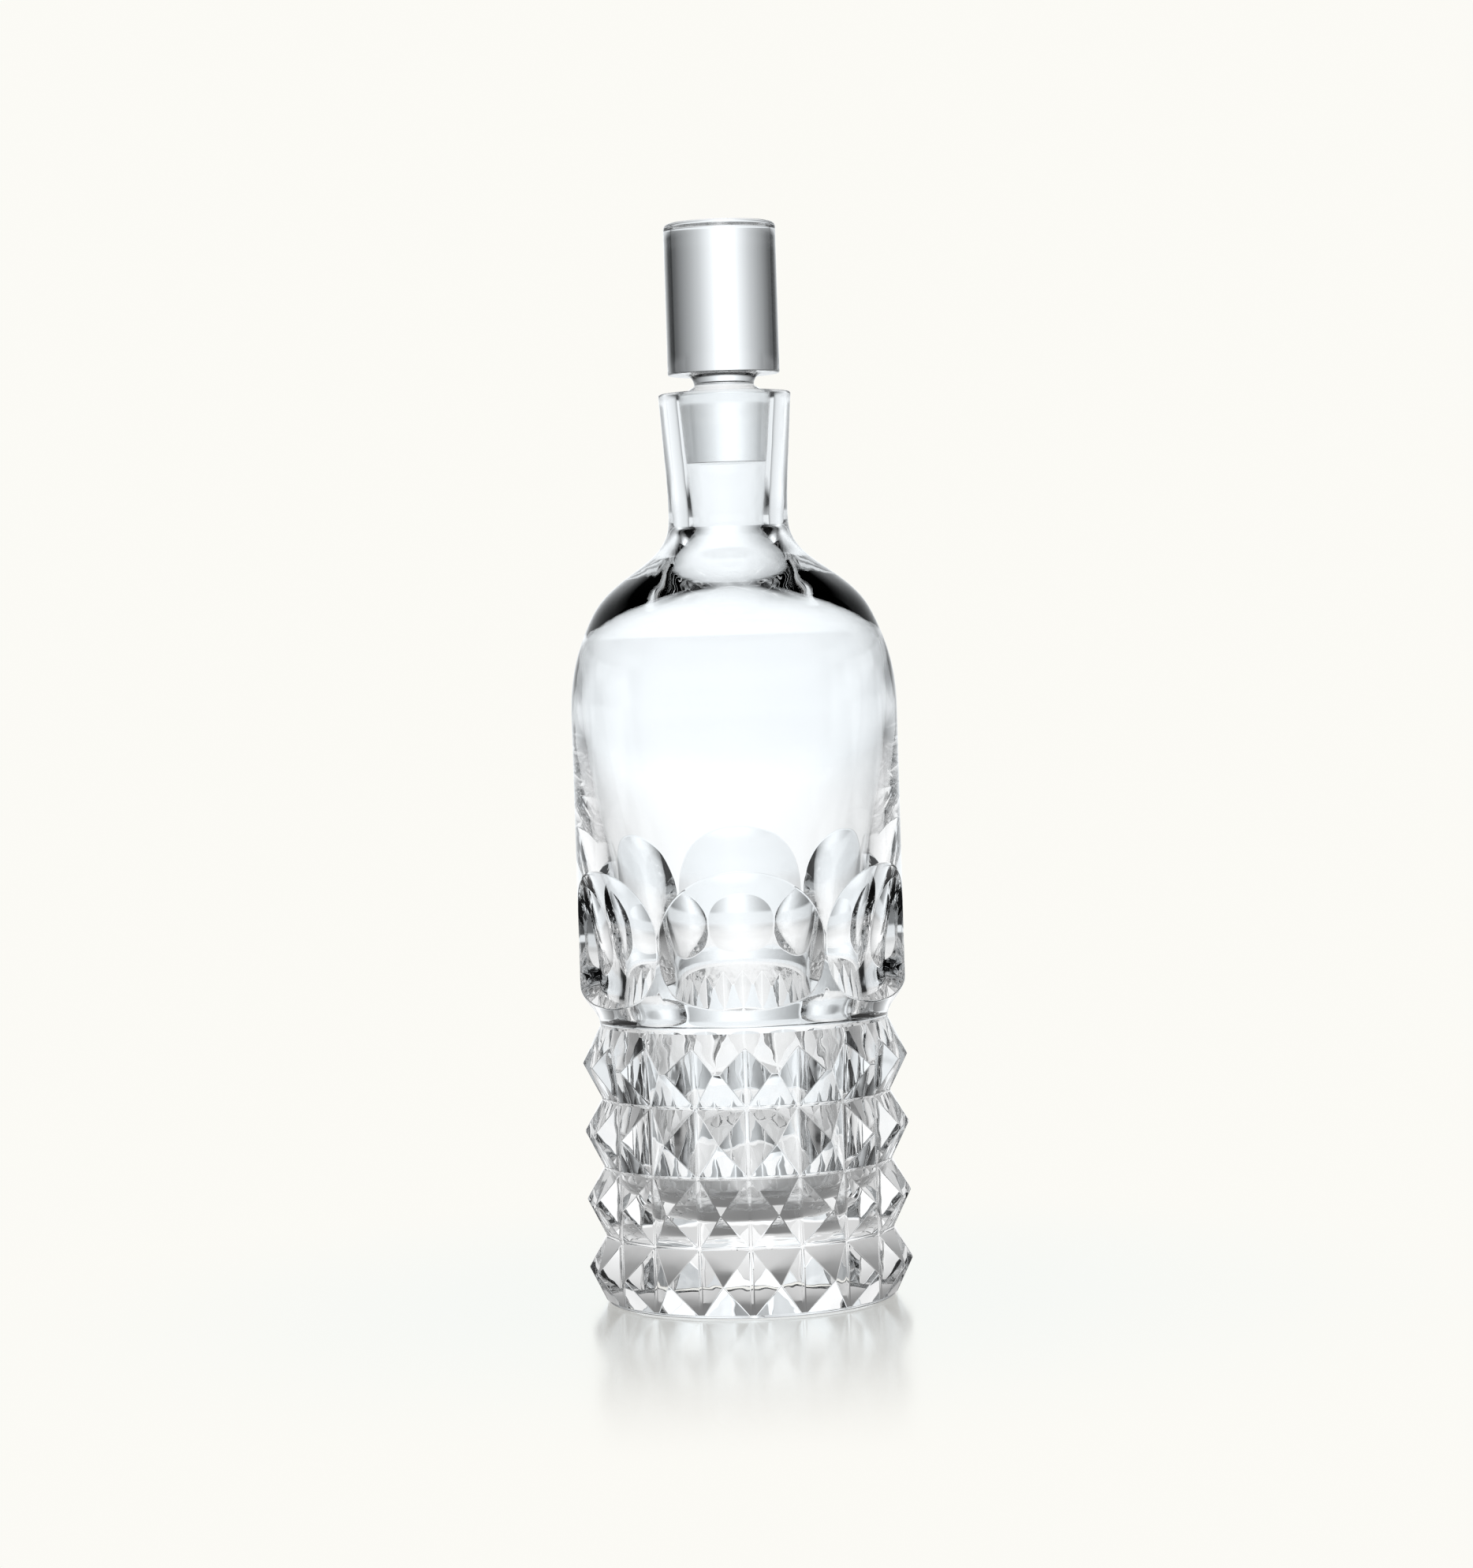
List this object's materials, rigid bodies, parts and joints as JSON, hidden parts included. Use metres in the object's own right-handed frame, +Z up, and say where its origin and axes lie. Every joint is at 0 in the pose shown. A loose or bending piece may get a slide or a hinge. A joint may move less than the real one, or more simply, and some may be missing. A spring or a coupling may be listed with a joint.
{
  "type": "decanter",
  "caption": "Cut lead-crystal decanter: cylindrical body with rings of cut pyramids and scooped cuts, sloped shoulder, flared neck, plain cylinder stopper that lifts out",
  "frame": {"origin": "centre of the flat foot, on the surface the decanter stands on", "axes": "+Z up along the common axis of body, neck and stopper; -Y is the front, where a valley between two columns of pyramids and the middle of one scooped cut face the viewer; +X is the viewer's right"},
  "size_m": [0.097, 0.097, 0.32],
  "materials": {
    "crystal_body": "cut and polished",
    "crystal_stopper": "polished, plug finely ground"
  },
  "bodies": {
    "decanter": {"decanter_body": "crystal_body"},
    "stopper": {"stopper": "crystal_stopper"}
  },
  "joints": [
    {"name": "stopper_lift", "type": "slide", "parent": "decanter", "child": "stopper", "axis": [0, 0, 1], "range_m": [0, 0.06]}
  ]
}
